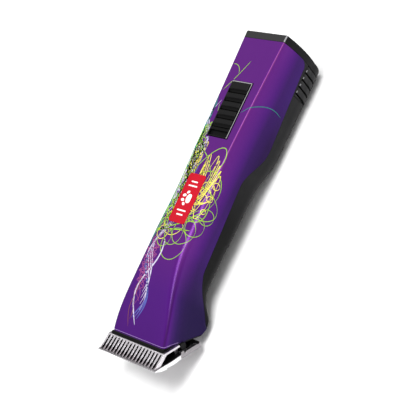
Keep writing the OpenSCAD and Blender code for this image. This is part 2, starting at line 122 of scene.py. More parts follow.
def blade_spot(x, t, h):
    """Place in the shared frame of a point of the blade plane."""
    s, c = math.sin(BLADE_TILT), math.cos(BLADE_TILT)
    return spot(x, TIP_DROP * s + t * c + h * s, BLADE_Z - t * s + h * c)


def ease(y, y0, y1):
    """0 at y0 and 1 at y1, with a soft start and end."""
    t = min(1.0, max(0.0, (y - y0) / (y1 - y0)))
    return t * t * (3 - 2 * t)


def mix(a, b, t):
    return a + (b - a) * t


def bend(p0, p1, p2, t):
    """Quadratic curve from p0 to p2, pulled towards p1."""
    return p0 * (1 - t) ** 2 + p1 * 2 * t * (1 - t) + p2 * t * t


def steps(start, end, count):
    """count + 1 even values from start to end."""
    return [mix(start, end, i / count) for i in range(count + 1)]


def top_z(y):
    """Height of the switch face."""
    way = max(0.0, (BROW_Y - y) / (BROW_Y - NOSE_Y))
    return FACE_Z - (FACE_Z - NOSE_Z) * way ** BROW_BEND


def floor_z(y):
    """Height of the underside."""
    return (WAIST_LIFT * ease(y, 132.5, 107) + SOLE_STEP * ease(y, 77.6, 76.4)
            - (WAIST_LIFT + SOLE_STEP - HEEL_Z) * ease(y, 45, 35))


def crease_x(y):
    """Half width of the switch face, out to its long crease."""
    tail = max(0.0, (y - WAIST_Y) / (LENGTH - WAIST_Y)) ** 1.5
    return (WAIST_FACE_X + (TAIL_FACE_X - WAIST_FACE_X) * tail + ease(y, 100, 65)
            + (HEAD_FACE_X - WAIST_FACE_X - 1) * ease(y, 67, 12))


def reach(y, z, off=0.0):
    """Half width of the body at height z of the section at y, off millimetres under its skin."""
    corner = 8.5 + 3.5 * ease(y, 107, 132) - 7.3 * ease(y, 54, 34)
    r = max(0.6, corner - off)
    top = top_z(y) - off
    low = floor_z(y) + off + r
    a = crease_x(y) - off
    bulge = 18.3 + 2.9 * ease(y, 100, 186) + 3.8 * ease(y, 62, 20) - off
    side = 17.5 + 0.5 * ease(y, 107, 132) + 4.6 * ease(y, 53, 33) - off
    if z >= low:
        s = min(1.0, max(0.0, (top - z) / (top - low)))
        return bend(a, bulge, side, s)
    q = min(1.0, (low - z) / r)
    return side - r + r * math.sqrt(1 - q * q)


def lean_y(y, z):
    """y at height z on a face that leans like the seam of the battery cap."""
    return y - (FACE_Z - z) * TAIL_LEAN


def seam_z(y):
    """Height of the seam between the purple and the black shell."""
    return (19.7 + 2.7 * min(1, (y - 58) / 50) - 7.8 * ease(y, 108, 131)
            + 0.09 * max(0, y - 134))


# the seam turns up in a round corner at the battery cap
CORNER_R = 5.0
CORNER_Z = seam_z(178) + CORNER_R
CORNER_Y = lean_y(SHELL_END, CORNER_Z)


def curve_through(points, y):
    """Height at y of a smooth curve through (y, z) points, which are in order of y."""
    for i in range(len(points) - 1):
        (y0, z0), (y1, z1) = points[i], points[i + 1]
        if y <= y1:
            before = points[max(0, i - 1)]
            after = points[min(len(points) - 1, i + 2)]
            m0 = (z1 - before[1]) / (y1 - before[0])
            m1 = (after[1] - z0) / (after[0] - y0)
            span = y1 - y0
            t = (y - y0) / span
            return ((2 * t ** 3 - 3 * t ** 2 + 1) * z0 + (t ** 3 - 2 * t ** 2 + t) * span * m0
                    + (3 * t ** 2 - 2 * t ** 3) * z1 + (t ** 3 - t ** 2) * span * m1)
    return points[-1][1]


def lower_edge(y):
    """Height of the purple shell's lower edge."""
    if y <= HEEL_Y:
        return mix(SOLE_Z, HEEL_Z, (y - SOLE_Y) / (HEEL_Y - SOLE_Y))
    if y < HEEL_Y + 0.6:
        return HEEL_Z + 4 * (y - HEEL_Y)
    if y < 80:
        return curve_through([(HEEL_Y + 0.6, HEEL_Z + 2.4), (47.6, 14.6), (56.4, 19.2),
                              (59.0, seam_z(59)), (80.0, seam_z(80)), (84.0, seam_z(84))], y)
    if y > CORNER_Y - CORNER_R:
        u = min(1.0, (y - CORNER_Y + CORNER_R) / CORNER_R)
        return CORNER_Z - CORNER_R * math.sqrt(1 - u * u)
    return seam_z(y)


# ---- camera, floor and lights
CAMERA_PLACE = (0.5907, -0.1254, 0.5353)
CAMERA_TURN = (32.793, 39.618, 33.444)
SENSOR_WIDTH, LENS = 36, 128.2
KEY_PLACE, KEY_AIM = (0.30, 0.12, 1.0), (0, 0, 0.02)
KEY_SIZE, KEY_WATTS = 0.46, 10.5
FLOOR_REACH, FLOOR_GREY = 3.0, 0.86
DOME_STRENGTH = 1.15
# greys of the dome from straight down to straight up: a soft bright band above the horizon
DOME_STOPS = [(0.0, 0.26), (0.42, 0.32), (0.62, 1.0), (0.82, 1.0), (1.0, 0.36)]


def place(name, data):
    """A new object of the scene that shows data."""
    made = bpy.data.objects.new(name, data)
    bpy.context.scene.collection.objects.link(made)
    return made


def fill_ramp(ramp, stops):
    """Gives a colour ramp its (position, colour) stops."""
    while len(ramp.elements) < len(stops):
        ramp.elements.new(0.5)
    for element, (position, color) in zip(ramp.elements, stops):
        element.position, element.color = position, (*color, 1.0)


def make_camera():
    data = bpy.data.cameras.new("camera")
    data.sensor_width, data.lens = SENSOR_WIDTH, LENS
    data.clip_start, data.clip_end = 0.05, 10
    camera = place("camera", data)
    camera.location = CAMERA_PLACE
    camera.rotation_euler = [math.radians(turn) for turn in CAMERA_TURN]
    bpy.context.scene.camera = camera


def make_floor():
    mesh = bpy.data.meshes.new("floor")
    far = FLOOR_REACH
    mesh.from_pydata([(-far, -far, 0), (far, -far, 0), (far, far, 0), (-far, far, 0)], [],
                     [(0, 1, 2, 3)])
    floor = place("floor", mesh)
    paper = Finish("paper")
    paper.set(Base_Color=[FLOOR_GREY] * 3, Roughness=0.9, Specular_IOR_Level=0.1)
    mesh.materials.append(paper.material)


def make_lights():
    """A white dome with a soft bright band, and one large soft key light."""
    world = bpy.data.worlds.new("studio")
    bpy.context.scene.world = world
    world.use_nodes = True
    nodes, links = world.node_tree.nodes, world.node_tree.links
    way = nodes.new("ShaderNodeTexCoord")
    up = nodes.new("ShaderNodeSeparateXYZ")
    fade = nodes.new("ShaderNodeValToRGB")
    fade.color_ramp.interpolation = "EASE"
    fill_ramp(fade.color_ramp, [(at, (grey, grey, grey)) for at, grey in DOME_STOPS])
    links.new(way.outputs["Generated"], up.inputs["Vector"])
    links.new(up.outputs["Z"], fade.inputs["Fac"])
    links.new(fade.outputs["Color"], nodes["Background"].inputs["Color"])
    nodes["Background"].inputs["Strength"].default_value = DOME_STRENGTH
    bpy.context.scene.view_settings.view_transform = "Standard"

    data = bpy.data.lights.new("key", "AREA")
    data.shape = "RECTANGLE"
    data.size = data.size_y = KEY_SIZE
    data.energy = KEY_WATTS
    light = place("key", data)
    light.location = KEY_PLACE
    aim = Vector(KEY_AIM) - Vector(KEY_PLACE)
    light.rotation_euler = aim.to_track_quat("-Z", "Y").to_euler()


# ---- materials
class Finish:
    """A node material under construction, with short ways to add nodes to it."""

    def __init__(self, name):
        self.material = bpy.data.materials.new(name)
        self.material.use_nodes = True
        self.tree = self.material.node_tree
        self.bsdf = self.tree.nodes["Principled BSDF"]
        self.place = self.tree.nodes.new("ShaderNodeTexCoord").outputs["Object"]

    def plug(self, socket, value):
        """Links a node's output to the socket, or sets a plain value there."""
        if isinstance(value, bpy.types.NodeSocket):
            self.tree.links.new(value, socket)
        else:
            socket.default_value = (*value, 1.0) if socket.type == "RGBA" else value

    def node(self, kind, settings=None, **inputs):
        made = self.tree.nodes.new("ShaderNode" + kind)
        for key, value in (settings or {}).items():
            setattr(made, key, value)
        for key, value in inputs.items():
            self.plug(made.inputs[key.replace("_", " ")], value)
        return made

    def math(self, operation, a, b):
        made = self.node("Math", dict(operation=operation))
        self.plug(made.inputs[0], a)
        self.plug(made.inputs[1], b)
        return made.outputs[0]

    def times(self, a, b):
        return self.math("MULTIPLY", a, b)

    def stretched(self, scale, turn=0.0):
        """Object coordinates in millimetres after a turn about X, times scale, which is one
        number or one for each axis."""
        scales = scale if isinstance(scale, tuple) else [scale] * 3
        return self.node("Mapping", Vector=self.place, Rotation=(turn, 0, 0),
                         Scale=[s / MM for s in scales]).outputs["Vector"]

    def noise(self, scale, detail=3.0, rough=0.55, turn=0.0):
        return self.node("TexNoise", Vector=self.stretched(scale, turn), Scale=1.0,
                         Detail=detail, Roughness=rough).outputs["Fac"]

    def spread(self, value, low, high, start=0.3, end=0.7):
        """value's range start to end, spread over low to high."""
        return self.node("MapRange", Value=value, From_Min=start, From_Max=end, To_Min=low,
                         To_Max=high).outputs["Result"]

    def blend(self, factor, a, b):
        """Colour a where factor is 0, and b where it is 1."""
        made = self.node("Mix", dict(data_type="RGBA"))
        # the colour mode's sockets: factor 0, A 6 and B 7 in, result 2 out
        for index, value in ((0, factor), (6, a), (7, b)):
            self.plug(made.inputs[index], value)
        return made.outputs[2]

    def bump(self, height, strength, distance):
        made = self.node("Bump", Height=height, Strength=strength, Distance=distance * MM)
        self.tree.links.new(made.outputs["Normal"], self.bsdf.inputs["Normal"])

    def set(self, **inputs):
        for key, value in inputs.items():
            self.plug(self.bsdf.inputs[key.replace("_", " ")], value)

    def ramp(self, value, stops):
        """Colours at stops of value, blended between them."""
        made = self.node("ValToRGB", Fac=value)
        fill_ramp(made.color_ramp, stops)
        return made.outputs["Color"]

    def facing_up(self):
        """1 where the surface looks up, 0 where it is upright, and -1 where it looks down."""
        return self.node("SeparateXYZ", Vector=self.tree.nodes["Texture Coordinate"]
                         .outputs["Normal"]).outputs["Z"]


# depth below the face over which the flank's colours are spread
FLANK_DEPTH = 24.0


def purple_finish():
    """Pearl lacquer: plum on the face, with a painted pink highlight on the crease and painted
    shade and reflection that deepen it to violet down the flanks. It has fine flake and faint
    orange peel. Places in it are in metres."""
    f = Finish("purple_lacquer")
    at = f.node("SeparateXYZ", Vector=f.place).outputs
    along = at["Y"]
    nose, brow = (NOSE_Y - LENGTH / 2) * MM, (BROW_Y - LENGTH / 2) * MM
    bow = f.math("POWER", f.spread(along, 1.0, 0.0, nose, brow), BROW_BEND)
    face = f.spread(bow, FACE_Z * MM, NOSE_Z * MM, 0.0, 1.0)
    fall = f.spread(f.math("SUBTRACT", face, at["Z"]), 0.0, 1.0, 0.0, FLANK_DEPTH * MM)
    # painted shade and reflection: the flank darkens and turns violet with depth below the face,
    # darkest on the head
    handle = f.ramp(fall, [
        (0.00, (0.116, 0.017, 0.190)), (0.12, (0.107, 0.016, 0.190)),
        (0.25, (0.082, 0.011, 0.170)), (0.38, (0.055, 0.007, 0.141)),
        (0.52, (0.033, 0.007, 0.095)), (0.71, (0.034, 0.007, 0.110)),
        (0.92, (0.036, 0.008, 0.124))])
    head = f.ramp(fall, [
        (0.00, (0.075, 0.008, 0.170)), (0.08, (0.064, 0.008, 0.159)),
        (0.17, (0.038, 0.007, 0.112)), (0.29, (0.020, 0.005, 0.071)),
        (0.42, (0.013, 0.004, 0.050)), (0.62, (0.009, 0.004, 0.041))])
    to_head = f.spread(along, 0.0, 1.0, -0.030, -0.056)
    flank = f.blend(to_head, handle, head)
    # painted shade, darker in the hollow of the waist
    waist = f.times(f.spread(along, 0.0, 1.0, 0.068, 0.040),
                    f.spread(along, 0.0, 1.0, -0.010, 0.008))
    waist = f.times(waist, f.spread(fall, 0.0, 0.8, 0.42, 0.80))
    flank = f.blend(waist, flank, (0.010, 0.002, 0.030))
    slope = f.facing_up()
    plain = f.blend(to_head, (0.086, 0.009, 0.156), (0.062, 0.005, 0.160))
    body = f.blend(f.spread(slope, 0.0, 1.0, 0.55, 0.92), flank, plain)
    # painted highlight: a pink line along the crease of the handle
    ridge = f.times(f.spread(slope, 0.0, 1.0, 0.42, 0.66), f.spread(slope, 1.0, 0.0, 0.72, 0.94))
    ridge = f.times(ridge, f.spread(along, 0.05, 0.62, 0.000, 0.030))
    body = f.blend(ridge, body, (0.235, 0.050, 0.150))
    # painted shade that darkens the softer crease of the head, where its round catches the light
    soft = f.times(f.spread(slope, 0.0, 0.62, 0.35, 0.66), f.spread(slope, 1.0, 0.0, 0.80, 0.975))
    body = f.blend(f.times(soft, to_head), body, (0.020, 0.002, 0.040))
    cloud = f.spread(f.noise((0.05, 0.03, 0.05), 2.0), 0.0, 0.10)
    body = f.blend(cloud, body, (0.036, 0.005, 0.095))
    flake = f.spread(f.noise(6, 1.0), 0.0, 0.10, 0.5, 0.8)
    body = f.blend(flake, body, (0.150, 0.035, 0.210))
    f.set(Base_Color=body, Metallic=0.30, Coat_Weight=0.05, Coat_Roughness=0.10,
          Specular_IOR_Level=0.08, Roughness=f.spread(f.noise(0.8), 0.30, 0.38))
    f.bump(f.noise(0.9, 2.0), 0.05, 0.05)
    return f.material


def black_finish(name="moulded_black", tone=0.008, grain=0.5, gloss=0.46, upward_tone=0.010,
                 head_tone=None):
    """Spark-eroded black plastic: fine even grain, paler where it is worn or looks up.
    It turns to head_tone, if there is one, towards the head."""
    f = Finish(name)
    grainy = f.noise(2.6, 4.0, 0.65)
    wear = f.spread(f.noise(0.12, 3.0), 0.0, 1.0, 0.45, 0.75)
    body = f.blend(wear, (tone, tone, tone * 1.06), (tone * 1.4, tone * 1.4, tone * 1.45))
    body = f.blend(f.spread(grainy, 0.0, 0.5), body, (tone * 2.2, tone * 2.2, tone * 2.3))
    # faces that look up blend to a paler tone
    upward_share = f.spread(f.facing_up(), 0.0, 1.0, 0.55, 0.98)
    body = f.blend(upward_share, body, (upward_tone, upward_tone, upward_tone * 1.02))
    if head_tone is not None:
        along = f.node("SeparateXYZ", Vector=f.place).outputs["Y"]
        body = f.blend(f.spread(along, 0.0, 0.85, 0.020, -0.010), body,
                       (head_tone, head_tone, head_tone))
    f.set(Base_Color=body, Specular_IOR_Level=0.10,
          Roughness=f.spread(grainy, gloss, gloss + 0.14))
    f.bump(grainy, grain, 0.06)
    return f.material


def metal_finish(name, color, dark, rough, stretch=(0.5, 6, 6), turn=0.0, bump=0.12):
    """Metal with fine machining lines along X and soft stains."""
    f = Finish(name)
    lines = f.noise(stretch, 4.0, 0.7, turn)
    stain = f.spread(f.noise(0.25, 3.0), 0.0, 0.45)
    body = f.blend(f.spread(lines, 0.0, 0.5), color, dark)
    body = f.blend(stain, body, [c * 0.82 for c in color])
    f.set(Base_Color=body, Metallic=1.0, Roughness=f.spread(lines, rough, rough + 0.14))
    f.bump(lines, bump, 0.03)
    return f.material


def enamel_finish(name, color, rough=0.3, coat=0.4):
    """Smooth enamel or ink with a little mottling."""
    f = Finish(name)
    mottle = f.spread(f.noise(1.2, 3.0), 0.0, 0.3)
    f.set(Base_Color=f.blend(mottle, color, [c * 0.78 for c in color]),
          Specular_IOR_Level=0.12, Coat_Weight=coat, Coat_Roughness=0.1,
          Roughness=f.spread(f.noise(3), rough, rough + 0.1))
    f.bump(f.noise(2.2), 0.08, 0.03)
    return f.material


def winding_finish():
    """Lacquered copper wire, wound in bands along the shaft."""
    f = Finish("copper_winding")
    wire = f.node("TexWave", dict(wave_type="BANDS", bands_direction="X"),
                  Vector=f.stretched(1), Scale=1.6, Distortion=0.6).outputs["Fac"]
    f.set(Base_Color=f.blend(wire, (0.25, 0.07, 0.02), (0.72, 0.30, 0.12)),
          Metallic=0.8, Roughness=0.35)
    f.bump(wire, 0.6, 0.15)
    return f.material


def board_finish():
    """Solder mask with faint tracks under it."""
    f = Finish("solder_mask")
    track = f.node("TexBrick", Vector=f.stretched(0.35), Scale=1.0,
                   Mortar_Size=0.06, Color1=(0.02, 0.14, 0.06), Color2=(0.03, 0.18, 0.08),
                   Mortar=(0.06, 0.28, 0.12)).outputs["Color"]
    f.set(Base_Color=track, Coat_Weight=0.3, Roughness=f.spread(f.noise(2), 0.3, 0.45))
    f.bump(f.noise(1.5), 0.1, 0.05)
    return f.material


STEEL = metal_finish("machined_steel", (0.62, 0.61, 0.63), (0.42, 0.41, 0.43), 0.26)
BLADE = metal_finish("ground_steel", (0.72, 0.69, 0.72), (0.46, 0.43, 0.47), 0.20,
                     (6, 0.6, 6), BLADE_TILT, 0.10)
FINISHES = {
    "purple_shell": purple_finish(),
    "black_plastic": black_finish(),
    "red_badge": enamel_finish("red_enamel", (0.44, 0.002, 0.014), 0.4, 0.03),
    "steel": STEEL,
    "blade_steel": BLADE,
    "cast_alloy": metal_finish("cast_alloy", (0.55, 0.55, 0.57), (0.4, 0.4, 0.42), 0.42,
                               1.5, 0.0, 0.5),
    "brass": metal_finish("turned_brass", (0.78, 0.56, 0.22), (0.55, 0.36, 0.12), 0.25),
    "winding_copper": winding_finish(),
    "magnet_grey": metal_finish("ferrite", (0.12, 0.12, 0.13), (0.07, 0.07, 0.08), 0.5,
                                2, 0.0, 0.5),
    "board_green": board_finish(),
    "component_grey": black_finish("component_resin", 0.07, 0.3, 0.4),
    "lead_red": enamel_finish("lead_insulation", (0.42, 0.02, 0.02), 0.4, 0.1),
    "cell_wrap": enamel_finish("shrink_wrap", (0.05, 0.16, 0.38), 0.28, 0.5),
}
# near-black painted shade for grooves, recesses and gaps
PAINTED_SHADE_BLACK = black_finish("painted_shade_black", 0.0015, 0.3, 0.5, 0.002)
SHELL_BLACK = black_finish("shell_black", 0.010, 0.5, 0.46, 0.014, 0.003)
# painted shade on the shell's front rim, and a painted highlight on the step of its lip
LIP_SHADE = black_finish("lip_shade", 0.004, 0.2, 0.4, 0.012)
PAINTED_LIP_HIGHLIGHT = enamel_finish("painted_lip_highlight", (0.34, 0.22, 0.50), 0.3, 0.1)
# painted reflection of the bright floor, for the comb's outer side faces
PAINTED_REFLECTION_STEEL = metal_finish("painted_reflection_steel", (0.96, 0.95, 0.96), (0.80, 0.79, 0.80), 0.16)
# darker steel for the upper faces of the cutter's tooth bevel
TOOTH_STEEL = metal_finish("upper_bevel_steel", (0.50, 0.45, 0.48), (0.26, 0.23, 0.25), 0.24,
                           (6, 0.6, 6), BLADE_TILT, 0.14)
SWITCH_BLACK = black_finish("switch_black", 0.004, 0.35, 0.42, 0.006)
CAP_BLACK = black_finish("cap_black", 0.005, 0.6, 0.42, 0.026)
GRIP_BLACK = black_finish("grip_black", 0.015, 0.6, 0.40, 0.03)
# painted highlight for lit edges, crease lines and rib ends
PAINTED_HIGHLIGHT = black_finish("painted_highlight", 0.13, 0.3, 0.35, 0.30)
SHADED_STEEL = metal_finish("shaded_steel", (0.36, 0.34, 0.355), (0.09, 0.085, 0.09), 0.30)
# painted shade for steel faces hidden under and between the blades
PAINTED_SHADE_STEEL = metal_finish("painted_shade_steel", (0.055, 0.052, 0.056), (0.02, 0.02, 0.02), 0.30)
WHITE_ENAMEL = enamel_finish("white_enamel", (0.82, 0.82, 0.80))


# ---- mesh helpers
def accent(made, material, test):
    """Gives one more material to the faces that pass test(middle as drawn, normal)."""
    index = len(made.data.materials)
    made.data.materials.append(material)
    for face in made.data.polygons:
        if test(drawn(face.center), face.normal):
            face.material_index = index


def bevel(width, angle=35):
    return ("BEVEL", dict(width=width * MM, segments=2, limit_method="ANGLE",
                          angle_limit=math.radians(angle), harden_normals=True,
                          use_clamp_overlap=True))


def thick(thickness):
    return ("SOLIDIFY", dict(thickness=thickness * MM, offset=-1, use_even_offset=False))


WELD_DISTANCE = 0.002


class Build:
    """Points and faces of one mesh, put together from grids and closed bars."""

    def __init__(self):
        self.points = []
        self.faces = []

    def add(self, points, faces):
        base = len(self.points)
        self.points += points
        self.faces += [tuple(base + i for i in face) for face in faces]

    def grid(self, columns, keep=None, closed=False):
        """Quads between neighbouring columns, which all have the same number of points."""
        rows = len(columns[0])
        faces = []
        for i in range(len(columns) - 1):
            for j in range(rows if closed else rows - 1):
                k = (j + 1) % rows
                if keep is None or keep(i, j):
                    a, b = i * rows, (i + 1) * rows
                    faces.append((a + j, b + j, b + k, a + k))
        self.add([p for column in columns for p in column], faces)

    def tube(self, rings):
        """A closed solid through rings of points, with flat ends."""
        n = len(rings[0])
        base = len(self.points)
        self.grid(rings, closed=True)
        last = base + (len(rings) - 1) * n
        self.faces.append(tuple(base + j for j in range(n)))
        self.faces.append(tuple(last + j for j in reversed(range(n))))

    def finish(self, name, slot, body="root", material=None, replaces=(), modifiers=(),
               sharp=38, weld=True):
        """The piece, which rides on body and may stand for CAD nodes. Doubled points are joined
        when weld is true, and every face is turned outward."""
        data = bpy.data.meshes.new(name)
        data.from_pydata([tuple(p) for p in self.points], [], self.faces)
        made = place(name, data)
        data.materials.append(material or FINISHES[slot])
        mesh = bmesh.new()
        mesh.from_mesh(data)
        if weld:
            bmesh.ops.remove_doubles(mesh, verts=mesh.verts, dist=WELD_DISTANCE * MM)
            bmesh.ops.dissolve_degenerate(mesh, dist=WELD_DISTANCE / 2 * MM, edges=mesh.edges)
        bmesh.ops.recalc_face_normals(mesh, faces=mesh.faces)
        mesh.to_mesh(data)
        mesh.free()
        data.polygons.foreach_set("use_smooth", [True] * len(data.polygons))
        data.set_sharp_from_angle(angle=math.radians(sharp))
        for kind, settings in modifiers:
            modifier = made.modifiers.new(kind.lower(), kind)
            for key, value in settings.items():
                setattr(modifier, key, value)
        if replaces:
            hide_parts(*replaces)
        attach(made, body)
        return made


def rounded_outline(x0, x1, y0, y1, r, count=5):
    """Points round a rectangle with corners of radius r, anticlockwise from above."""
    points = []
    for cx, cy, turn in ((x1 - r, y0 + r, -90), (x1 - r, y1 - r, 0), (x0 + r, y1 - r, 90),
                         (x0 + r, y0 + r, 180)):
        for i in range(count + 1):
            q = math.radians(turn + 90 * i / count)
            points.append((cx + r * math.cos(q), cy + r * math.sin(q)))
    return points


def stack(build, x0, x1, y0, y1, layers):
    """A solid through rounded rectangles, given from the bottom up as (inset, z, radius)."""
    build.tube([[spot(x, y, z) for x, y in rounded_outline(x0 + inset, x1 - inset, y0 + inset,
                                                           y1 - inset, max(0.02, r))]
                for inset, z, r in layers])


def slab(build, x0, x1, y0, y1, z0, z1, r=0.5, edge=0.15):
    """A plate with rounded corners and a small round on both faces."""
    stack(build, x0, x1, y0, y1, [
        (inset, z, r - inset) for inset, z in (
            (edge, z0), (0, z0 + edge), (0, z1 - edge), (edge * 0.3, z1 - edge * 0.3),
            (edge, z1))])


# ---- the body's skin
def fillet_r(y):
    """Round on the long crease: crisp at the tail, softer from the waist to the head."""
    round_r = 0.8 + 3.2 * ease(y, 124, 84) - 1.6 * ease(y, 48, 16)
    return min(round_r, crease_x(y) - BEZEL[1].x - 0.5)


def half_profile(top, low, count, off=0.0):
    """Points from the crease fillet down the side. top is y on the face, low is (y, z)."""
    y_t, z_t = top, top_z(top) - off
    a = crease_x(y_t) - off
    r = fillet_r(y_t)

    def side(w):
        y = mix(y_t, low[0], w)
        z = mix(z_t, low[1], w)
        return Vector((reach(y, z, off), y, z))

    length = math.hypot(low[1] - z_t, low[0] - y_t) or 1.0
    start = r / length
    p0, p1, p2 = Vector((a - r, y_t, z_t)), Vector((a, y_t, z_t)), side(start)
    points = [bend(p0, p1, p2, t) for t in steps(0, 1, 6)]
    return points + [side(mix(start, 1, i / count)) for i in range(1, count + 1)]


# rounded lip along the shell's front edge: its width and how far it drops
NOSE_LIP, LIP_DROP = 1.15, 0.16
TOP_RUN = SHELL_END - NOSE_Y
HEEL_TOP_Y = NOSE_Y + (HEEL_Y - SOLE_Y) / (CORNER_Y - SOLE_Y) * TOP_RUN
LUG_GAP, LUG_FADE = 0.45, 3


def upper_columns():
    """y on the face of each column of the purple shell."""
    ys = [NOSE_Y + d for d in (0, 0.2, 0.6, 0.95, NOSE_LIP, 1.35, 1.6, 2.2, 3, 4, 5)]
    ys += [18 + 1.5 * i for i in range(36)] + steps(74, 124, 25)
    ys += [BEZEL[0].y, BEZEL[1].y, HEEL_TOP_Y] + steps(130, 158, 7) + steps(164, 178, 7)
    ys += [SHELL_END - TOP_RUN * u
           for u in (0, 0.001, 0.003, 0.006, 0.01, 0.015, 0.021, 0.028, 0.036)]
    return sorted(set(round(y, 4) for y in ys))


def lug_arch(y, z, depth):
    """Moves a point, depth behind the front edge, back round the lug if it is near it."""
    near = math.hypot(y - LUG_Y, z - LUG_Z)
    push = max(0.0, LUG_R + LUG_GAP - near) * max(0.0, 1 - depth / LUG_FADE)
    return y + push * 0.77, z + push * 0.64


def upper_shell():
    """Purple shell with the switch opening. Returns its skin, for the print to lie on."""
    tops = upper_columns()
    columns = []
    for y_t in tops:
        y_l = mix(SOLE_Y, CORNER_Y, (y_t - NOSE_Y) / TOP_RUN)
        depth = y_t - NOSE_Y
        off = LIP_DROP * (1 - ease(depth, NOSE_LIP - 0.2, NOSE_LIP))
        half = half_profile(y_t, (y_l, lower_edge(y_l)), 26, off)
        for i in range(8, len(half)):
            y, z = lug_arch(half[i].y, half[i].z, depth)
            if y != half[i].y:
                half[i] = Vector((reach(y, z, off), y, z))
        crease, hole = half[0], BEZEL[1].x
        half = [Vector((x, y_t, crease.z)) for x in (0, 4.2, hole, (hole + crease.x) / 2)] + half
        left = [Vector((-p.x, p.y, p.z)) for p in reversed(half[1:])]
        columns.append([spot(*p) for p in left + half])
    middle = len(columns[0]) // 2

    def keep(i, j):
        in_hole = tops[i] >= BEZEL[0].y - 0.01 and tops[i + 1] <= BEZEL[1].y + 0.01
        return not (in_hole and middle - 2 <= j < middle + 2)

    build = Build()
    build.grid(columns, keep)
    sole = [column for column, y in zip(columns, tops) if y <= HEEL_TOP_Y + 0.01]
    for side in (0, -1):
        strip = []
        for column in sole:
            edge = column[side]
            notch = math.copysign(NOTCH_X * MM, edge.x)
            strip.append([Vector((x, edge.y, edge.z)) for x in steps(edge.x, notch, 5)])
        build.grid(strip if side == -1 else [row[::-1] for row in strip])
    made = build.finish("shell_upper", "purple_shell", replaces=["top_shell"],
                        modifiers=[thick(WALL), bevel(0.22, 50)])
    # painted shade on the front edge's rim, and a painted highlight along the lip's step
    accent(made, LIP_SHADE, lambda p, n: p.y < 30 and edge_depth(p) < 0.5)
    accent(made, PAINTED_LIP_HIGHLIGHT, lambda p, n: p.z > NOSE_Z - 7 and 1.12 < edge_depth(p) < 1.36)
    return BVHTree.FromPolygons([v.co for v in made.data.vertices],
                                [f.vertices for f in made.data.polygons])


def edge_depth(p):
    """Distance of a point behind the slanted front edge of the head."""
    run, fall = SOLE_Y - NOSE_Y, NOSE_Z - SOLE_Z
    return ((p.y - NOSE_Y) * fall + (p.z - NOSE_Z) * run) / math.hypot(run, fall)


def nose_shade_strip():
    """Black strip under the front edge: painted shade that stands for the dark gap over the
    cutter.
    """
    build = Build()
    build.tube([[spot(x, y, z) for y, z in (
        (12.5, 26.1), (11.0 + back, 26.16), (10.72 + back, 26.08), (10.72 + back, 26.0),
        (12.5, 24.6))] for x, back in ((-21.9, 0.25), (-21.5, 0), (0, 0), (21.5, 0),
                                       (21.9, 0.25))])
    build.finish("nose_shade_strip", "black_plastic", material=PAINTED_SHADE_BLACK, sharp=30)


def lower_shell():
    """Black lower shell with its two latch openings."""
    z_high, z_low = LATCH[1].z + LATCH_GAP, LATCH[0].z - LATCH_GAP
    open_y = LATCH[0].y - LATCH_GAP + 0.4
    floor_end = lean_y(SHELL_END, 0)
    ys = [HEEL_Y + 0.15 + 1.1 * i for i in range(38)] + [76.0, 76.4, 76.8, 77.2, 77.6, 78.0]
    ys += steps(80, 160, 40) + [162.5, open_y] + steps(167, CORNER_Y - CORNER_R, 6)
    ys += [CORNER_Y - CORNER_R * (1 - math.sin(math.radians(q))) for q in range(15, 91, 15)]
    ys = sorted(set(round(y, 4) for y in ys))
    columns = []
    for y_l in ys:
        lean = max(0.0, (y_l - open_y) / (CORNER_Y - open_y))
        y_f = mix(open_y, floor_end, lean) if lean else y_l
        z_l, z_f = lower_edge(y_l) - 0.12, floor_z(y_f)
        tall = max(0.05, z_l - z_f)
        late = ease(y_l, 120, 158)
        z_a = mix(z_l - 0.12 * tall, min(z_high, z_l - 0.3), late)
        z_b = mix(z_f + 0.3 * tall, z_low, late)
        heights = steps(z_l, z_a, 2) + steps(z_a, z_b, 12)[1:]
        heights += [z_f + (z_b - z_f) * (1 - w) ** 1.9 for w in steps(0, 1, 9)[1:]]
        half = []
        for z in heights:
            y = mix(y_f, y_l, (z - z_f) / tall)
            half.append((reach(y, z), y, z))
        x, y, z = half[-1]
        half += [(x * (1 - t), y, z) for t in steps(0, 1, 5)[1:]]
        columns.append([spot(-x, y, z) for x, y, z in half[:-1]]
                       + [spot(*p) for p in reversed(half)])
    rows = len(columns[0])

    def keep(i, j):
        band = 2 <= j < 14 or rows - 15 <= j < rows - 3
        return not (ys[i] >= open_y - 0.01 and band)

    build = Build()
    build.grid(columns, keep)
    build.finish("shell_lower", "black_plastic", replaces=["bottom_shell"],
                 material=SHELL_BLACK, modifiers=[thick(WALL), bevel(0.22, 50)])


def heel_pad():
    """Flat pad under the head that the hinge bracket is screwed to."""
    build = Build()
    slab(build, -8.5, 8.5, 38.4, 48, HEEL_Z + 0.02, 8.4, 0.8, 0.3)
    build.finish("heel_pad", "black_plastic")


def full_ring(y, off):
    """A closed ring of the body at y, sheared like the cap seam, off under the skin."""
    z_f, z_t = floor_z(y) + off, top_z(y) - off
    low = 12.0
    a = crease_x(y) - off
    round_r = max(0.1, fillet_r(y) - 0.5 * off)
    side = []
    for w in steps(0, 1, 14):
        z = z_t - (z_t - z_f - low) * w - round_r * (1 - w)
        side.append((reach(y, z, off), z))
    fillet = [(bend(a - round_r, a, side[0][0], t), bend(z_t, z_t, side[0][1], t))
              for t in steps(0, 1, 5)]
    corner = []
    for w in steps(0, 1, 14)[1:]:
        z = z_f + low * (1 - w) ** 1.8
        corner.append((reach(y, z, off), z))
    half = [(0.0, z_t), ((a - round_r) / 2, z_t)] + fillet + side[1:] + corner
    half += [(half[-1][0] / 2, z_f), (0.0, z_f)]
    ring = half + [(-x, z) for x, z in reversed(half[1:-1])]
    return [spot(x, lean_y(y, z), z) for x, z in ring]


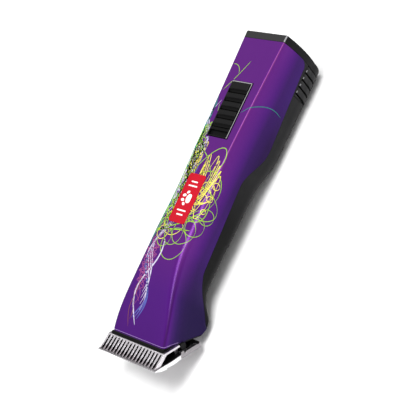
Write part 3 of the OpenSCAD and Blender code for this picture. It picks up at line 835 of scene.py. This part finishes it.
def battery_cap():
    """End cap of the battery pack, with a rounded rear edge and a lip that enters the shell."""
    build = Build()
    front, edge = SHELL_END + 0.12, 0.7
    rings = [full_ring(front + way, off)
             for way, off in ((0, 0.35), (0, 0.2), (0.12, 0.04), (0.3, 0))]
    rings += [full_ring(y, 0) for y in steps(front + 0.8, LENGTH - edge - 0.2, 3)]
    for q in steps(0, math.pi / 2, 4):
        rings.append(full_ring(LENGTH - edge + edge * math.sin(q), edge * (1 - math.cos(q))))
    rings.append(full_ring(LENGTH, edge + 3))
    build.tube(rings)
    lip = []
    for way, gap in ((-3.9, 0.5), (-3.6, 0.35), (0.3, 0.35)):
        y, off = SHELL_END + way, WALL + gap
        outer = [(crease_x(y) - off - 0.5, top_z(y) - off)]
        outer += [(reach(y, z, off), z)
                  for z in steps(top_z(y) - off - 0.4, LATCH[1].z + 1.2, 8)]
        inner = [(x - 1.6, z) for x, z in outer]
        inner[0] = (outer[0][0] - 1.1, outer[0][1] - 1.6)
        arch = [(-x, z) for x, z in reversed(outer)] + outer
        arch += [(x, z) for x, z in reversed(inner)] + [(-x, z) for x, z in inner]
        lip.append([spot(x, lean_y(y, z), z) for x, z in arch])
    build.tube(lip)
    made = build.finish("pack_cap", "black_plastic", "battery", replaces=["battery_cap"],
                        material=CAP_BLACK, sharp=30)
    # painted highlight along the crease of the cap
    accent(made, PAINTED_HIGHLIGHT, lambda p, n: p.z > 35.5 and 0.5 < n.z < 0.94 and abs(n.y) < 0.4
           and p.y > SHELL_END + 0.4)


RIB_PITCH, GROOVE_WIDE, GROOVE_DEEP = 4.15, 1.05, 1.15
GRIP_PROUD, GRIP_SKIN, RIB_CROWN = 0.42, 1.0, 0.10


def latch_grip(side):
    """Squeeze grip with diagonal ribs. side is 1 on the right and -1 on the left."""
    hand = "right" if side > 0 else "left"
    y_front, z_low, z_high = LATCH[0].y + 0.4, LATCH[0].z, LATCH[1].z

    def along(y, z):
        """Distance behind the grip's front edge, sheared so that it is level along a rib."""
        return y + (11 - z) * TAIL_LEAN - y_front - 0.35

    def proud(y, z):
        way = along(y, z)
        turn = way % RIB_PITCH
        groove = min(1.0, max(0.0, min(turn, GROOVE_WIDE - turn) / 0.28)) if way >= 0 else 0.0
        rim = min(y - y_front, z_high - z, z - z_low)
        rib = min(1.0, max(0.0, (turn - GROOVE_WIDE) / (RIB_PITCH - GROOVE_WIDE)))
        return (GRIP_PROUD * min(1.0, rim / 0.3 + 0.2) - GROOVE_DEEP * groove
                + RIB_CROWN * math.sin(math.pi * rib))

    heights = steps(z_high, z_low, 22)
    outer, inner = [], []
    for u in steps(0, 1, 200):
        places = [(mix(y_front, lean_y(SHELL_END - LATCH_GAP, z), u), z) for z in heights]
        outer.append([spot(side * (reach(y, z) + proud(y, z)), y, z) for y, z in places])
        inner.append([spot(side * reach(y, z, GRIP_SKIN), y, z) for y, z in places])
    build = Build()
    build.grid(outer)
    build.grid(inner)
    n, rows = len(outer), len(heights)
    rim = [(i * rows + j, (i + 1) * rows + j) for i in range(n - 1) for j in (0, rows - 1)]
    rim += [(i * rows + j, i * rows + j + 1) for i in (0, n - 1) for j in range(rows - 1)]
    base = n * rows
    build.faces += [(a, b, base + b, base + a) for a, b in rim]
    made = build.finish("latch_grip_" + hand, "black_plastic", "latch_" + hand, sharp=32,
                        replaces=["latch_button_" + hand], material=GRIP_BLACK)

    def rib_end(p, n):
        turn = along(p.y, p.z) % RIB_PITCH
        return (p.z > z_high - 0.55 and n.x * side > 0.2
                and GROOVE_WIDE + 0.1 < turn < GROOVE_WIDE + 1.2)

    def in_groove(p, n):
        way = along(p.y, p.z)
        return (way > 0 and way % RIB_PITCH < GROOVE_WIDE and n.x * side > -0.5
                and abs(p.x) < reach(p.y, p.z) + 0.3)

    # painted highlight ticks at the top ends of the ribs
    accent(made, PAINTED_HIGHLIGHT, rib_end)
    # painted shade in the grooves between the ribs
    accent(made, PAINTED_SHADE_BLACK, in_groove)


# ---- switch
def switch_frame():
    """Recessed frame that the slider runs in."""
    (x0, y0, z0), (x1, y1, z1) = BEZEL
    step, floor = FACE_Z - 0.55, FACE_Z - 1.0
    build = Build()
    stack(build, x0, x1, y0, y1, [
        (0, z0, 0.5), (0, step, 0.5), (0.36, step, 0.5), (0.36, z1 - 0.12, 0.5), (0.44, z1, 0.45),
        (0.78, z1, 0.3), (0.86, z1 - 0.06, 0.3), (0.9, z1 - 0.2, 0.3), (0.9, floor, 0.3)])
    made = build.finish("switch_frame", "black_plastic", replaces=["switch_bezel"],
                        material=SWITCH_BLACK)
    # painted shade inside the recess under the rim
    accent(made, PAINTED_SHADE_BLACK, lambda p, n: p.z < z1 - 0.3)
    # painted highlight on the rim's top along its +X side and +Y end
    accent(made, PAINTED_HIGHLIGHT, lambda p, n: n.z > 0.5 and p.z > z1 - 0.12 and (
        p.x > x1 - 1.2 or p.y > y1 - 1.2))


def slider_cap():
    """Slider with five stepped ribs."""
    (x0, y0, z0), (x1, y1, z1) = SLIDER
    ribs, lead, tail = 5, 1.7, 1.0
    pitch = (y1 - y0 - lead - tail) / ribs
    low, high = z1 - 0.95, z1
    profile = [(y0, z0), (y0, low + 0.2), (y0 + 0.2, low + 0.45), (y0 + lead - 0.5, low + 0.5)]
    for i in range(ribs):
        y = y0 + lead + i * pitch
        profile += [(y - 0.3, low + 0.38), (y - 0.12, z0 + 0.15), (y + 0.4, z0 + 0.15),
                    (y + 0.5, low - 0.2), (y + 1.2, low), (y + 2.0, low + 0.5),
                    (y + 2.25, high - 0.1), (y + 2.5, high - 0.03), (y + pitch - 0.55, high)]
    profile += [(y1 - 0.9, high), (y1 - 0.25, high), (y1, high - 0.3), (y1, z0)]
    build = Build()
    build.tube([[spot(x, y, z if z <= z0 else z - drop) for y, z in profile]
                for x, drop in ((x0, 0.35), (x0 + 0.12, 0.12), (x0 + 0.35, 0), (x1 - 0.35, 0),
                                (x1 - 0.12, 0.12), (x1, 0.35))])
    made = build.finish("slider_cap", "black_plastic", "slider", replaces=["power_slider"],
                        material=SWITCH_BLACK, sharp=25)
    # painted shade on the faces below the rib tops: the grooves and the slopes that rise to the
    # ribs
    accent(made, PAINTED_SHADE_BLACK, lambda p, n: z0 + 0.02 < p.z < high - 0.35 and abs(n.x) < 0.6
           and p.y > y0 + 0.6)


# ---- badge and printed ornament
def badge():
    """Red badge with a raised rim, and a paw print and bars in white enamel."""
    (x0, y0, z0), (x1, y1, z1) = BADGE
    build = Build()
    slab(build, x0, x1, y0, y1, z0 - 0.2, z1 - 0.1, 1.6, 0.12)
    build.finish("badge_plate", "red_badge", replaces=["badge"])

    build = Build()
    middle_x, middle_y = (x0 + x1) / 2, (y0 + y1) / 2
    sunk, proud = z1 - 0.15, z1

    def pad(cx, cy, rx, ry, turn=0.0, dent=0.0):
        """A raised oval; dent draws in the end that looks along X."""
        s, c = math.sin(turn), math.cos(turn)
        rings = []
        for z, k in ((sunk, 1.0), (proud - 0.04, 1.0), (proud, 0.93)):
            ring = []
            for q in steps(0, 2 * math.pi, 28)[:-1]:
                u = rx * k * math.cos(q) * (1 - dent * max(0.0, math.cos(q)) ** 6)
                w = ry * k * math.sin(q)
                ring.append(spot(cx + u * c - w * s, cy + u * s + w * c, z))
            rings.append(ring)
        build.tube(rings)

    pad(middle_x + 1.3, middle_y, 2.1, 2.7, 0.0, 0.22)
    for side in (-1, 1):
        pad(middle_x - 1.0, middle_y + side * 3.4, 1.15, 0.8, side * 0.5)
        pad(middle_x - 2.9, middle_y + side * 1.35, 1.35, 0.85, side * 0.15)
    for end in (-1, 1):
        for k in (0, 1):
            y, inset = middle_y + end * (7.2 + 2.4 * k), 3.1 + k
            slab(build, x0 + inset, x1 - inset, y - 0.4, y + 0.4, sunk, proud, 0.38, 0.04)
    build.finish("badge_paw", "red_badge", material=WHITE_ENAMEL)


INK_SUNK, INK_PROUD = -0.04, 0.08
TANGENT_STEP = 0.004
PROFILES = {}


def skin_profile(y):
    """Points and running lengths down the purple skin at y, from the middle of the face."""
    key = round(y, 1)
    if key not in PROFILES:
        low = (key, max(lower_edge(key), 8.0))
        line = [Vector((0.0, top_z(key)))]
        line += [Vector((p.x, p.z)) for p in half_profile(key, low, 26)]
        runs = [0.0]
        for p, q in zip(line, line[1:]):
            runs.append(runs[-1] + (q - p).length)
        PROFILES[key] = line, runs
    return PROFILES[key]


def skin_spot(skin, a, y, lift):
    """Point lift over the purple skin. a runs across it from the middle of the face."""
    line, runs = skin_profile(y)
    i = max(k for k in range(len(runs) - 1) if k == 0 or runs[k] <= abs(a))
    along = (line[i + 1] - line[i]).normalized()
    at = line[i] + along * min(abs(a) - runs[i], runs[i + 1] - runs[i])
    point, normal, _, _ = skin.find_nearest(spot(math.copysign(at.x, a), y, at.y))
    return point + normal * lift * MM


def printable(a, y):
    """True on the open purple skin, clear of the switch and of the seam."""
    on_switch = abs(a) < BEZEL[1].x + 0.3 and BEZEL[0].y - 0.3 < y < BEZEL[1].y + 0.3
    return not on_switch and abs(a) < skin_profile(y)[1][-1] - 0.8


class Ink:
    """Printed lines of one colour on the purple skin."""

    def __init__(self, skin, name, color):
        self.skin = skin
        self.name = name
        self.build = Build()
        self.material = enamel_finish("ink_" + name, color, 0.32, 0.05)

    def line(self, path, count, width):
        """A ribbon along path(t), t from 0 to 1, tapered at both ends and cut where it would
        leave the printable skin."""
        rings = []
        for t in steps(0, 1, count):
            a, y = path(t)
            if not printable(a, y):
                self.close(rings)
                rings = []
                continue
            (a0, y0), (a1, y1) = path(t - TANGENT_STEP), path(t + TANGENT_STEP)
            size = math.hypot(a1 - a0, y1 - y0) or 1.0
            half = 0.5 * width * min(1.0, 0.25 + 6 * t, 0.25 + 6 * (1 - t))
            da, dy = -(y1 - y0) / size * half, (a1 - a0) / size * half
            rings.append([skin_spot(self.skin, a + side * da, y + side * dy, lift)
                          for side, lift in ((1, INK_SUNK), (1, INK_PROUD), (-1, INK_PROUD),
                                             (-1, INK_SUNK))])
        self.close(rings)

    def close(self, rings):
        if len(rings) > 2:
            self.build.tube(rings)

    def done(self):
        self.build.finish("print_" + self.name, "purple_shell", weld=False,
                          material=self.material, sharp=60)


def strand(y0, y1, a0, a1, swing, turns, phase):
    """Path of a wavy strand that drifts from a0 to a1."""
    return lambda t: (mix(a0, a1, t) + swing * math.sin(2 * math.pi * (turns * t + phase)),
                      mix(y0, y1, t))


def arc(a, y, r, start=0, end=360):
    """Path of a circular arc round (a, y), in degrees."""
    def path(t):
        q = math.radians(mix(start, end, t))
        return a + r * math.cos(q), y + r * math.sin(q)
    return path


def weave(a, y, wide, tall, m, n, phase):
    """Path that swings m times across (a, y) while it swings n times along it."""
    return lambda t: (a + wide * math.sin(2 * math.pi * (m * t + phase)),
                      y + tall * math.sin(2 * math.pi * n * t))


INK_COLORS = dict(
    lime=(0.28, 0.50, 0.03), yellow=(0.78, 0.70, 0.10), white=(0.56, 0.52, 0.66),
    pink=(0.32, 0.07, 0.22), blue=(0.08, 0.09, 0.34), ochre=(0.18, 0.05, 0.07),
    teal=(0.02, 0.20, 0.17))
# Families of lines: ink, how many, points along each, widths in turn, kind of path and its values.
# A value is one number for them all, (the first line's, the step to the next), or a list.
LINES = [
    # waves beside the switch and the badge
    ("teal", 7, 150, [0.9], strand, (150, -3), (60, 2), -13.4, -12.2, (0.9, 0.12), (2.1, 0.3),
     (0, 0.17)),
    ("lime", 8, 150, [0.40, 0.48, 0.56], strand, (146, -3.2), (66, 1.2), -10.0, -9.6,
     (1.9, 0.35), (2.0, 0.23), (0, 0.13)),
    ("white", 9, 150, [0.38, 0.48], strand, (148, -4), (78, 1.5), -9.6, -8.6, (3.9, -0.3),
     (1.8, 0.2), (0.5, 0.11)),
    ("blue", 3, 80, [0.40], strand, 124, (90, 3), (-5.0, -1), -8.0, 3.4, 1.3, (0.6, 0.2)),
    ("yellow", 3, 110, [0.34], weave, -7.5, (117, -5), 3.4, 6.5, 2, 3, (0, 0.13)),
    ("lime", 5, 48, [0.40], arc, -10.0, (131, -8), (2.4, 0.3)),
    # woven loops beside the badge
    ("yellow", 5, 150, [0.40], weave, (5.0, 0.9), (106, -3.0), (4.6, 0.6), (11.0, 0.5), 1, 2,
     (0, 0.05)),
    ("yellow", 3, 70, [0.36], weave, 10.5, (96, -2), (5.5, -1.3), (6.0, -1.5), 1, 1, 0.25),
    ("lime", 4, 150, [0.42], weave, [2.5, 1.0, 5.0, 7.0], [105, 99, 93, 90],
     [11.0, 15.5, 13.5, 15.0], [17.0, 20.0, 15.0, 9.0], 1, 1, [0.14, 0.36, 0.20, 0.30]),
    ("yellow", 3, 32, [0.36], arc, (15.2, -0.4), (101, -7.5), (1.9, -0.3)),
    # rings and waves under the badge and over the crease
    ("lime", 3, 90, [0.60, 0.50, 0.40], strand, (70, -1.3), (74, 6), -13.0, 12.5, (2.4, -1), 0.5,
     0.5),
    ("lime", 6, 80, [0.32], arc, [-3.5, 2.0, 8.0, 13.5, 17.5, 5.0],
     [67.0, 70.5, 73.0, 77.0, 84.0, 65.0], [5.0, 6.6, 7.6, 5.6, 4.2, 8.8]),
    ("yellow", 2, 70, [0.36], arc, (-6.5, 5.5), (69.5, 7.5), (4.0, 4.0)),
    # waves towards the nose
    ("white", 4, 120, [0.46], strand, (78, -1), (27, 3), (-6.0, -0.3), (-6.6, 0.5), (4.6, -0.7),
     1.1, (0.30, 0.04)),
    ("white", 1, 100, [0.9], strand, 66, 19, -5.4, -6.8, 4.6, 0.95, 0.12),
    ("blue", 3, 90, [0.80], strand, (60, -3), 22, -6.0, (-4.0, -0.7), 4.4, 0.9, (0.62, 0.05)),
    ("pink", 6, 130, [0.30], strand, (72, -2), (28, 3), -8.0, -8.6, (1.9, 0.5), (2.6, 0.4),
     (0, 0.2)),
    ("ochre", 2, 70, [0.42], strand, 44, (17, 4), (-10.5, 1), -10.8, 1.6, 1.0, (0.1, 0.3)),
    # thin lines at the tail
    ("lime", 1, 60, [0.30], strand, 173, 154, -1.5, -12.5, 0.5, 0.5, 0.0),
    ("lime", 1, 40, [0.30], arc, -12.5, 164, 6.0, 10, 100),
]


def value_of(value, i):
    """What a value in LINES is for line i of its family."""
    if isinstance(value, list):
        return value[i]
    return value[0] + value[1] * i if isinstance(value, tuple) else value


def ornament(skin):
    """Printed waves, woven loops and rings, as plain decoration."""
    inks = {name: Ink(skin, name, color) for name, color in INK_COLORS.items()}
    for name, count, points, widths, kind, *values in LINES:
        for i in range(count):
            path = kind(*[value_of(value, i) for value in values])
            inks[name].line(path, points, widths[i % len(widths)])
    # one thin bow over the flank
    inks["teal"].line(lambda t: (mix(8.9, 33, t), 143 + 9 * math.sin(2.1 * t)), 70, 0.34)
    for ink in inks.values():
        ink.done()


# ---- blades
def blade_bar(build, outline, x_at):
    """A closed bar over an outline of (t, h); x_at gives (x0, x1) at each of its points."""
    low = [blade_spot(x_at(t, h)[0], t, h) for t, h in outline]
    high = [blade_spot(x_at(t, h)[1], t, h) for t, h in outline]
    build.tube([low, high])


def mirrored_bars(build, outline, x_near, x_far):
    """The same bar on both sides, from x_near to x_far."""
    for side in (-1, 1):
        ends = sorted((side * x_near, side * x_far))
        blade_bar(build, outline, lambda t, h: ends)


def comb():
    """Fixed lower blade: long pointed teeth, a curved underside and raised rails at its sides."""
    edge = COMB_W / 2
    tip_w, root_w, root = 0.62, 1.06, 7.6
    middle = edge - 0.375
    build = Build()
    outline = [(0.14, -TIP_DROP - 0.12), (0.05, -TIP_DROP + 0.12), (0.6, -0.02), (2.5, 0),
               (7.9, 0), (7.9, -2.7), (5.5, -2.4), (3.4, -1.85), (1.7, -1.15)]
    for x in steps(-middle, middle, COMB_TEETH - 1):

        def width(t, h):
            taper = 1 - 0.35 * max(0, -h - 1.0) / 1.7
            half = mix(tip_w, root_w, min(1, t / root)) * taper / 2
            return max(-edge, x - half), min(edge, x + half)

        blade_bar(build, outline, width)
    made = build.finish("comb_teeth", "blade_steel", "blade_set", modifiers=[bevel(0.09)])
    # painted shade on the tooth sides between the teeth, and a painted reflection on the outer
    # sides of the end teeth
    accent(made, SHADED_STEEL, lambda p, n: abs(n.x) > 0.6 and abs(p.x) < edge - 0.1)
    accent(made, PAINTED_REFLECTION_STEEL, lambda p, n: abs(n.x) > 0.6 and abs(p.x) >= edge - 0.1)

    corner = 2.6
    half = [(edge, 7.5), (edge, 12)]
    half += [(mix(edge, HEEL_X, ease(t, 12, 18)), t) for t in (13.5, 15, 16.5, 18)]
    half += [(HEEL_X, 24), (HEEL_X, COMB_L - 3)]
    half += [(HEEL_X - corner + corner * math.cos(q), COMB_L - corner + corner * math.sin(q))
             for q in steps(0, math.pi / 2, 5)]
    outline = half + [(-x, t) for x, t in reversed(half)]

    def under(t):
        """Height of the curved underside."""
        fall = math.sin(math.pi / 2 * min(1.0, max(0.0, (t - 1.7) / 15.8)))
        return -1.1 - 1.9 * fall + 0.6 * ease(t, 9.6, 18)

    rings = []
    for inset, height in ((0.35, lambda t: 0.0), (0.0, lambda t: -0.2),
                          (0.0, lambda t: mix(-1.3, -2.2, ease(t, 9, 19))),
                          (0.0, lambda t: under(t) + 0.3), (0.25, under)):
        rings.append([blade_spot(x - math.copysign(inset, x), min(t, COMB_L - inset), height(t))
                      for x, t in outline])
    build = Build()
    build.tube(rings)
    mirrored_bars(build, [(18.8, -0.3), (18.8, 1.25), (19.0, 1.4), (20.6, 1.4), (20.8, 1.25),
                          (20.8, -0.3)], HEEL_X - 1.8, HEEL_X)
    mirrored_bars(build, [(22.0, -0.3), (22.0, 0.3), (22.3, 0.4), (COMB_L - 3.2, 0.4),
                          (COMB_L - 2.8, 0.2), (COMB_L - 2.8, -0.3)], HEEL_X - 2.4, HEEL_X)
    made = build.finish("comb_plate", "blade_steel", "blade_set", replaces=["comb_blade"],
                        modifiers=[bevel(0.14)])
    belly_end = drawn(blade_spot(0, 17.6, -1.5)).y
    # painted shade on the top face under the cutter and on the sides, and a painted reflection on
    # the lower front of the sides
    accent(made, PAINTED_SHADE_STEEL, lambda p, n: n.z > 0.5 and abs(p.x) < HEEL_X - 2.6)
    accent(made, SHADED_STEEL, lambda p, n: abs(n.x) > 0.6)
    accent(made, PAINTED_REFLECTION_STEEL, lambda p, n: abs(n.x) > 0.6 and p.y < belly_end and (
        p.z < blade_spot(0, (p.y - 1.5) / math.cos(BLADE_TILT), -2.0).z / MM))


def cutter():
    """Moving upper blade: a bevel of slotted teeth, the ridge, the top plate and the rear rail."""
    edge = CUTTER_W / 2
    middle = edge - 0.6
    slot_end, bevel_t = 8.35, 1.3
    slope = (RIDGE_H - 0.5) / (RIDGE_T - bevel_t)

    def tooth_half(t):
        return 0.46 + 0.20 * ease(t, 3.0, 4.4) + 0.06 * ease(t, 5, slot_end)

    def bevel_h(t):
        return 0.5 + slope * (t - bevel_t)

    build = Build()
    outline = [(1.3, 0.1), (1.25, 0.3), (1.35, 0.5)]
    outline += [(t, bevel_h(t) - 0.12 * math.sin(math.pi * (t - 1.35) / 7.25))
                for t in (2.2, 3.0, 3.4, 3.9, 4.4, 5.5, 6.8, 8.0, 8.6)]
    outline += [(8.8, 3.2), (4.6, 0.1)]
    teeth = steps(-middle, middle, CUTTER_TEETH - 1)
    for x in teeth:
        blade_bar(build, outline, lambda t, h: (max(-edge, x - tooth_half(t)),
                                                min(edge, x + tooth_half(t))))
    # webs that close the slots with a round root
    for x0, x1 in zip(teeth, teeth[1:]):
        centre = (x0 + x1) / 2
        half = (x1 - x0) / 2 - tooth_half(slot_end) + 0.12
        web = [(centre - half * math.cos(q), slot_end - 0.6 + 0.6 * math.sin(q))
               for q in steps(0, math.pi, 8)]
        web += [(centre + half, 8.75), (centre - half, 8.75)]
        build.tube([[blade_spot(x, t, bevel_h(t) - depth) for x, t in web]
                    for depth in (1.2, 0.03)])
    made = build.finish("cutter_teeth", "blade_steel", "cutter", modifiers=[bevel(0.08)])
    square = Vector((0, math.sin(BLADE_TILT), math.cos(BLADE_TILT)))
    # darker steel on the upper faces of the bevel
    accent(made, TOOTH_STEEL, lambda p, n: p.z > blade_spot(0, 3.3, 1.8).z / MM
           and n.dot(square) > 0.3)
    # painted shade on the undersides and on the inner sides of the teeth
    accent(made, PAINTED_SHADE_STEEL, lambda p, n: n.dot(square) < -0.3 or (
        abs(n.x) > 0.6 and abs(p.x) < edge - 0.3))

    build = Build()
    under = RIDGE_H - PLATE
    slot_x, slot_t = cad_box("drive_tip")[1].x + 0.3, 10.9
    ridge = [(8.5, bevel_h(8.5) - 0.02), (RIDGE_T - 0.12, RIDGE_H - 0.12),
             (RIDGE_T + 0.25, RIDGE_H), (slot_t, RIDGE_H), (slot_t, under), (10.2, under),
             (9.0, 3.3)]
    blade_bar(build, ridge, lambda t, h: (-edge, edge))
    mirrored_bars(build, [(slot_t - 0.05, RIDGE_H), (CUTTER_END - 0.3, RIDGE_H),
                          (CUTTER_END, RIDGE_H - 0.3), (CUTTER_END, under),
                          (slot_t - 0.05, under)], slot_x, edge)
    mirrored_bars(build, [(17.2, under + 0.05), (CUTTER_END, under + 0.05), (CUTTER_END, 0.1),
                          (17.2, 0.1)], slot_x, 21.0)
    made = build.finish("cutter_plate", "blade_steel", "cutter", replaces=["cutter_blade"],
                        modifiers=[bevel(0.12)])
    behind_ridge = drawn(blade_spot(0, 9.5, 4)).y
    # painted shade on the underside and on the faces behind the ridge
    accent(made, PAINTED_SHADE_STEEL, lambda p, n: n.dot(square) < -0.3 or (
        n.dot(square) < 0.5 and abs(n.x) < 0.3 and p.y > behind_ridge))


# ---- screws
def screw_heads(name, node, places, r, tall):
    """Domed heads with a cross recess, which look down, one at each (x, y, z) of places."""
    build = Build()
    turns = steps(0, 2 * math.pi, 24)[:-1]
    for x, y, z in places:
        rings = []
        for k, lift in ((1.0, 0.0), (1.0, 0.35), (0.9, 0.7), (0.7, 0.92), (0.5, 1.0),
                        (0.42, 1.0), (0.3, 0.2)):
            ring = []
            for q in turns:
                cross = max(abs(math.cos(q)), abs(math.sin(q))) ** 10
                deep = lift if k > 0.5 or not lift else mix(lift, -0.1, cross)
                ring.append(spot(x + r * k * math.cos(q), y + r * k * math.sin(q),
                                 z - tall * deep))
            rings.append(ring)
        build.tube(rings)
    build.finish(name, "steel", replaces=[node], sharp=30)


def dress_cad_nodes():
    """Every CAD node that stays gets the finish of its material slot."""
    finish_of = {s["node"]: s["material_slot"] for s in frame["record"]["subparts"]}
    for name, node in frame["nodes"].items():
        node.data.materials.clear()
        node.data.materials.append(FINISHES[finish_of[name]])


make_camera()
make_floor()
make_lights()
dress_cad_nodes()
skin = upper_shell()
nose_shade_strip()
lower_shell()
heel_pad()
battery_cap()
latch_grip(1)
latch_grip(-1)
switch_frame()
slider_cap()
badge()
ornament(skin)
comb()
cutter()
screw_heads("case_screws", "housing_screws",
            [(side * x, y, floor_z(y) + 0.4) for x, y in SCREWS for side in (-1, 1)], 2.3, 0.6)
screw_heads("bracket_screws", "hinge_screws", [(-4.5, 41, 1.4), (4.5, 41, 1.4)], 2.2, 0.9)
